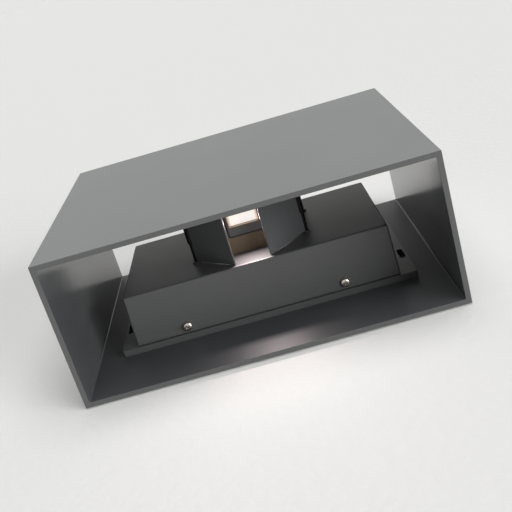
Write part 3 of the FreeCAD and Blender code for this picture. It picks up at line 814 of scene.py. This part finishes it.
def repeated(name, tree, places, values):
    """A piece that stands for a CAD node, made by a tree on the node's places."""
    piece = bpy.data.objects.new(name + "_finished", points_mesh(name, places))
    bpy.context.scene.collection.objects.link(piece)
    modifier = piece.modifiers.new("repeat", "NODES")
    modifier.node_group = tree
    values = {"Seed": SEED, "Finish": FINISHES[SLOT_OF[name]], **values}
    for item in tree.interface.items_tree:
        if item.in_out == "INPUT" and item.name in values:
            modifier[item.identifier] = values[item.name]
    mesh = plain_mesh(piece)
    for face in mesh.polygons:
        face.use_smooth = True
    mesh.set_sharp_from_angle(angle=SHARP_ANGLE)
    print(f"{piece.name:28s} places {len(places)}  faces {len(mesh.polygons)}")
    settled(piece, [name])


# %% Tree for turned parts
CUTTER_FOOT = 0.55
CUTTER_HEIGHT = 1.05
DOME_STEPS = 11


def turned_tree():
    """Tree that sweeps an outline round the axis and cuts a slot or a cross into its top."""
    tree, given, result = tree_with("turned parts", {
        "Outline": "Object", "Recess Length": "Float", "Recess Width": "Float", "Recess Depth": "Float",
        "Crossed": "Bool", "Seed": "Int", "Finish": "Material"})
    outline = put(tree, "GeometryNodeObjectInfo", {"Object": given["Outline"]})
    axis = put(tree, "GeometryNodeMeshToCurve", {"Mesh": outline.outputs["Geometry"]})
    ring = put(tree, "GeometryNodeCurvePrimitiveCircle", {"Resolution": 48, "Radius": 1.0})
    radius = put(tree, "GeometryNodeInputNamedAttribute", {"Name": "turned_radius"}, data_type="FLOAT")
    body = put(tree, "GeometryNodeCurveToMesh", {
        "Curve": axis.outputs[0], "Profile Curve": ring.outputs[0], "Scale": radius.outputs[0],
        "Fill Caps": True})
    wedge = put(tree, "GeometryNodeMeshCone", {"Vertices": 4, "Radius Top": math.sqrt(2),
                                               "Radius Bottom": CUTTER_FOOT, "Depth": 1.0})
    squared = put(tree, "GeometryNodeTransform", {"Geometry": wedge.outputs[0],
                                                  "Rotation": (0, 0, math.pi / 4)})
    size = put(tree, "ShaderNodeCombineXYZ", {0: maths(tree, "MULTIPLY", given["Recess Length"], 0.5),
                                              1: maths(tree, "MULTIPLY", given["Recess Width"], 0.5),
                                              2: maths(tree, "MULTIPLY", given["Recess Depth"],
                                                       CUTTER_HEIGHT)})
    sunk = put(tree, "ShaderNodeCombineXYZ", {2: maths(tree, "MULTIPLY", given["Recess Depth"], -1.0)})
    arm = put(tree, "GeometryNodeTransform", {
        "Geometry": squared.outputs[0], "Translation": sunk.outputs[0], "Scale": size.outputs[0]})
    across = put(tree, "GeometryNodeTransform", {"Geometry": arm.outputs[0],
                                                 "Rotation": (0, 0, math.pi / 2)})
    second = put(tree, "GeometryNodeSwitch", {0: given["Crossed"], "True": across.outputs[0]},
                 input_type="GEOMETRY")
    cut = put(tree, "GeometryNodeMeshBoolean", {"Mesh 1": body.outputs[0], "Mesh 2": arm.outputs[0]},
              operation="DIFFERENCE", solver="EXACT")
    again = put(tree, "GeometryNodeMeshBoolean", {"Mesh 1": cut.outputs[0], "Mesh 2": second.outputs[0]},
                operation="DIFFERENCE", solver="EXACT")
    placed(tree, given, result, again.outputs[0], math.tau)
    return tree


def shank_outline(radius, length, top):
    """Outline of a plain shank from its chamfered tip up to a height below the head's top."""
    return [(0.75 * radius, -length), (radius, 0.25 * radius - length), (radius, top - 0.02 * MM)]


def pan_outline(shank, head, height, length):
    """Outline of a pan head: a dome, which powers below 1 make squarish, over a straight side."""
    outline = shank_outline(shank, length, -height)
    outline.append((0.96 * head, -height))
    outline.append((head, 0.06 * MM - height))
    for step in range(DOME_STEPS + 1):
        lean = math.radians(84) * step / DOME_STEPS
        rise = 0.25 + 0.75 * math.sin(lean) ** 0.85
        outline.append((head * math.cos(lean) ** 0.62, height * (rise - 1)))
    return [(radius, min(level, 0.0)) for radius, level in outline]


def flat_outline(shank, head, height, length):
    """Outline of a countersunk head: a cone with a narrow straight rim and a flat top."""
    outline = shank_outline(shank, length, -height)
    rim = [(0.08, 0.16), (0.0, 0.1), (0.0, 0.04), (0.06, 0.0)]
    return outline + [(head - inward * MM, -deep * MM) for inward, deep in rim]


def outline_object(outline):
    """The outline as edges along Z, whose points carry the radius."""
    mesh = bpy.data.meshes.new("outline")
    edges = [(start, start + 1) for start in range(len(outline) - 1)]
    mesh.from_pydata([(0, 0, level) for radius, level in outline], edges, [])
    radii = mesh.attributes.new("turned_radius", "FLOAT", "POINT")
    radii.data.foreach_set("value", [radius for radius, level in outline])
    return bpy.data.objects.new("outline", mesh)


# %% [markdown]
# ## Screws and clamps
#
# The sizes are the standard ones: M3 and M2.5 pan heads, M4 countersunk heads, and 3.5 mm clamp screws
# with a plain slot. The table says for each node how its head is shaped and which way it faces: the
# cover's screws face the open ends, the sleeve's and the pedestal's face the wall, and the others are
# driven from the front. A zero direction stands for the nearer open end.

# %% Screws and clamps
TURNED = turned_tree()
RECESS_WIDTH = 0.55 * MM
RECESS_DEEP = 0.6
CROSS_SPAN = 1.25
SLOT_SPAN = 2.2
M3 = (1.5 * MM, 2.8 * MM, 2.0 * MM)
M2_5 = (1.25 * MM, 2.25 * MM, 1.5 * MM)
M4 = (2.0 * MM, 4.0 * MM, 2.0 * MM)
CLAMP = (1.5 * MM, 1.78 * MM, 1.2 * MM)
SCREWS = {
    "cover_screws": (pan_outline, M3, NEAREST_END),
    "pedestal_screws": (pan_outline, M3, BACK),
    "bridge_screws": (pan_outline, M2_5, FRONT),
    "driver_screws": (pan_outline, M3, FRONT),
    "terminal_screw": (pan_outline, M2_5, FRONT),
    "earth_screw": (pan_outline, M3, FRONT),
    "sleeve_screws": (flat_outline, M4, BACK),
    "terminal_clamps": (flat_outline, CLAMP, FRONT),
}
for name, (outline_of, sizes, way_out) in SCREWS.items():
    shank, head, height = sizes
    crossed = name != "terminal_clamps"
    places, length = tops_of(name, way_out)
    outline = outline_object(outline_of(shank, head, height, length))
    recess = (CROSS_SPAN if crossed else SLOT_SPAN) * head
    repeated(name, TURNED, places, {
        "Outline": outline, "Recess Length": recess, "Recess Width": RECESS_WIDTH,
        "Recess Depth": RECESS_DEEP * height, "Crossed": crossed})
    bpy.data.objects.remove(outline)


# %% [markdown]
# ## Washers and chips
#
# A friction washer is a flat ring with broken edges, and a chip is a low tile with rounded corners and
# its phosphor a little proud of the rim. Both are too small to show more. The ring is a rounded rectangle
# swept round a circle, and the tile is a filled outline that is pushed up, so neither needs a boolean.


# %% Washers and chips
WASHER_OUTSIDE = 2.4 * MM
WASHER_HOLE = 1.3 * MM
WASHER_ROUND = 0.12 * MM
CHIP_ROUND = 0.25 * MM
CHIP_RIM = 0.4 * MM
CHIP_STEP = 0.08 * MM
LID_ROUND = 0.5 * MM


def rounded_rectangle(tree, width, height, radius):
    """A closed rounded outline, as the output of its node."""
    plain = put(tree, "GeometryNodeCurvePrimitiveQuadrilateral", {"Width": width, "Height": height})
    rounded = put(tree, "GeometryNodeFilletCurve",
                  {"Curve": plain.outputs[0], "Count": 4, "Radius": radius}, mode="POLY")
    return rounded.outputs[0]


def washer_tree():
    """Tree that sweeps a small rounded section round a circle."""
    tree, given, result = tree_with("washers", {
        "Middle Radius": "Float", "Breadth": "Float", "Thickness": "Float",
        "Seed": "Int", "Finish": "Material"})
    round_path = put(tree, "GeometryNodeCurvePrimitiveCircle",
                     {"Resolution": 48, "Radius": given["Middle Radius"]})
    section = rounded_rectangle(tree, given["Breadth"], given["Thickness"], WASHER_ROUND)
    ring = put(tree, "GeometryNodeCurveToMesh",
               {"Curve": round_path.outputs[0], "Profile Curve": section})
    placed(tree, given, result, ring.outputs[0], 0.0)
    return tree


def pushed_up(tree, outline, height):
    """A filled outline pushed up to a height, closed below."""
    sheet = put(tree, "GeometryNodeFillCurve", {0: outline}, mode="NGONS")
    block = put(tree, "GeometryNodeExtrudeMesh", {"Mesh": sheet.outputs[0], "Offset Scale": height,
                                                  "Individual": False})
    below = put(tree, "GeometryNodeFlipFaces", {0: sheet.outputs[0]})
    both = put(tree, "GeometryNodeJoinGeometry", {0: block.outputs[0]})
    tree.links.new(below.outputs[0], both.inputs[0])
    merged = put(tree, "GeometryNodeMergeByDistance",
                 {"Geometry": both.outputs[0], "Distance": 0.001 * MM})
    return merged.outputs[0]


def chip_tree():
    """Tree that pushes up a tile with rounded corners, and a slightly higher lid inside its edge."""
    tree, given, result = tree_with("chips", {
        "Width": "Float", "Height": "Float", "Rise": "Float", "Seed": "Int", "Finish": "Material"})
    body = rounded_rectangle(tree, given["Width"], given["Height"], CHIP_ROUND)
    lid_width = maths(tree, "SUBTRACT", given["Width"], 2 * CHIP_RIM)
    lid_height = maths(tree, "SUBTRACT", given["Height"], 2 * CHIP_RIM)
    lid = rounded_rectangle(tree, lid_width, lid_height, LID_ROUND)
    rim_level = maths(tree, "SUBTRACT", given["Rise"], CHIP_STEP)
    both = put(tree, "GeometryNodeJoinGeometry", {0: pushed_up(tree, body, rim_level)})
    tree.links.new(pushed_up(tree, lid, given["Rise"]), both.inputs[0])
    placed(tree, given, result, both.outputs[0], 0.0)
    return tree


WASHERS = washer_tree()
CHIPS = chip_tree()
washer_boxes = solids_of("rod_washers")
washer_thick = (washer_boxes[0][1] - washer_boxes[0][0]).y
washer_places = [((low + high) / 2, FRONT) for low, high in washer_boxes]
repeated("rod_washers", WASHERS, washer_places, {
    "Middle Radius": (WASHER_OUTSIDE + WASHER_HOLE) / 2, "Breadth": WASHER_OUTSIDE - WASHER_HOLE,
    "Thickness": washer_thick})
for end, outward in (("upper", 1), ("lower", -1)):
    boxes = solids_of("led_chips_" + end)
    wide, high, rise = boxes[0][1] - boxes[0][0]
    way = Vector((0, 0, outward))
    chip_places = [((low + top) / 2 - way * rise / 2, way) for low, top in boxes]
    repeated("led_chips_" + end, CHIPS, chip_places, {"Width": wide, "Height": high, "Rise": rise})

# %% [markdown]
# ## Floor and light
#
# The floor is the sheet that the light lies on, which is also the wall when it hangs. It has to be
# clear from behind, so that the light's back can be looked at: a Backfacing test makes it transparent
# for rays that come from its far side, and a narrow sun behind it shines on the light's back alone,
# through the part of the sheet that the light covers, which lets shadow rays pass. The sheet is rough, so
# the light stands a little off it, which draws a thin dark line under its edge. Where the sheet ends, far
# away, the world has the sheet's own tone, so that no horizon shows. Suns are used and not area lamps,
# because a sun lights the whole sheet evenly, and a wide sun angle makes shadows as soft as a large
# diffuser does.

# %% Floor
FLOOR_PALE = (0.79, 0.79, 0.775)
FLOOR_REACH = 14.0
FLOOR_GAP = 0.8 * MM


def floor_finish():
    """Pale matt sheet, clear from behind and, under the light, clear for shadows."""
    material, tree, shader = new_finish("floor_sheet", FLOOR_PALE, 0.9)
    varied(tree, shader, FLOOR_PALE, 0.01, grain(tree, 4 * MM))
    bumped(tree, shader, grain(tree, 5 * MM, detail=4), 0.3 * MM)
    shader.inputs["Specular IOR Level"].default_value = 0.1
    behind = put(tree, "ShaderNodeNewGeometry").outputs["Backfacing"]
    place = put(tree, "ShaderNodeSeparateXYZ", {0: place_on(tree)})
    half_width, half_height = cad_box[1][0], cad_box[1][2]
    under_x = maths(tree, "LESS_THAN", maths(tree, "ABSOLUTE", place.outputs["X"]), half_width)
    under_z = maths(tree, "LESS_THAN", maths(tree, "ABSOLUTE", place.outputs["Z"]), half_height)
    shadow = put(tree, "ShaderNodeLightPath").outputs["Is Shadow Ray"]
    window = maths(tree, "MULTIPLY", maths(tree, "MULTIPLY", under_x, under_z), shadow)
    clear = put(tree, "ShaderNodeBsdfTransparent")
    share = maths(tree, "MAXIMUM", behind, window)
    mixed = put(tree, "ShaderNodeMixShader", {0: share, 1: shader.outputs[0], 2: clear.outputs[0]})
    tree.links.new(mixed.outputs[0], tree.nodes["Material Output"].inputs["Surface"])
    return material


floor_mesh = bpy.data.meshes.new("floor")
signs = ((-1, -1), (1, -1), (1, 1), (-1, 1))
corners = [(x * FLOOR_REACH, FLOOR_GAP, z * FLOOR_REACH) for x, z in signs]
floor_mesh.from_pydata(corners, [], [(0, 1, 2, 3)])
floor_mesh.materials.append(floor_finish())
floor = bpy.data.objects.new("floor", floor_mesh)
bpy.context.scene.collection.objects.link(floor)
print("the floor looks along", floor_mesh.polygons[0].normal[:])


# %% Lamps
LAMPS = {
    "overhead": ((-0.1, -1.0, 0.05), 0.75, 60),
    "near_side": ((-0.75, -0.15, 0.65), 1.12, 45),
    "behind": ((0.0, 1.0, 0.0), 0.75, 2),
}
WINDOW_WATTS = 0.07
WINDOW_COLOUR = (1.0, 0.85, 0.85)
WINDOW_MARGIN = 0.5 * MM
WINDOW_GAP = 0.2 * MM


def sun(name, toward, level, spread):
    """A soft sun whose light comes from a direction. At level 1 a white sheet facing it is white."""
    data = bpy.data.lights.new(name, "SUN")
    data.energy = level * math.pi
    data.angle = math.radians(spread)
    lamp = bpy.data.objects.new(name, data)
    lamp.rotation_mode = "QUATERNION"
    lamp.rotation_quaternion = Vector(toward).to_track_quat("Z", "Y")
    bpy.context.scene.collection.objects.link(lamp)


def window_lamp(end, outward):
    """A small area lamp just outside a window frame, shining out of the light's open end."""
    low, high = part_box("window_glass_" + end)
    data = bpy.data.lights.new("window_lamp_" + end, "AREA")
    data.shape = "RECTANGLE"
    data.size = high.x - low.x - 2 * WINDOW_MARGIN
    data.size_y = high.y - low.y - 2 * WINDOW_MARGIN
    data.energy = WINDOW_WATTS
    data.color = WINDOW_COLOUR
    lamp = bpy.data.objects.new("window_lamp_" + end, data)
    frame_low, frame_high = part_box("window_frame_" + end)
    face = max(abs(frame_low.z), abs(frame_high.z)) + WINDOW_GAP
    place = Vector(((low.x + high.x) / 2, (low.y + high.y) / 2, outward * face))
    lamp.matrix_world = aimed(place, Vector((0, 0, outward)), Vector((1, 0, 0)))
    lamp.visible_camera = False
    bpy.context.scene.collection.objects.link(lamp)


for name, (toward, level, spread) in LAMPS.items():
    sun(name, toward, level, spread)
for end, outward in (("upper", 1), ("lower", -1)):
    window_lamp(end, outward)
print("lamps:", [light.name for light in bpy.data.lights])

# %% World
WORLD_FILL = 0.05
world = bpy.data.worlds.new("studio")
bpy.context.scene.world = world
world.use_nodes = True
air = world.node_tree
fill = air.nodes["Background"]
fill.inputs["Color"].default_value = (1, 1, 1, 1)
fill.inputs["Strength"].default_value = WORLD_FILL
seen = put(air, "ShaderNodeBackground", {"Color": (*FLOOR_PALE, 1), "Strength": 1.0})
rays = put(air, "ShaderNodeLightPath")
shown = maths(air, "MAXIMUM", rays.outputs["Is Camera Ray"], rays.outputs["Is Glossy Ray"])
shown = maths(air, "MAXIMUM", shown, rays.outputs["Is Transmission Ray"])
sky = put(air, "ShaderNodeMixShader", {0: shown, 1: fill.outputs[0], 2: seen.outputs[0]})
air.links.new(sky.outputs[0], air.nodes["World Output"].inputs["Surface"])
print("world fill:", WORLD_FILL)
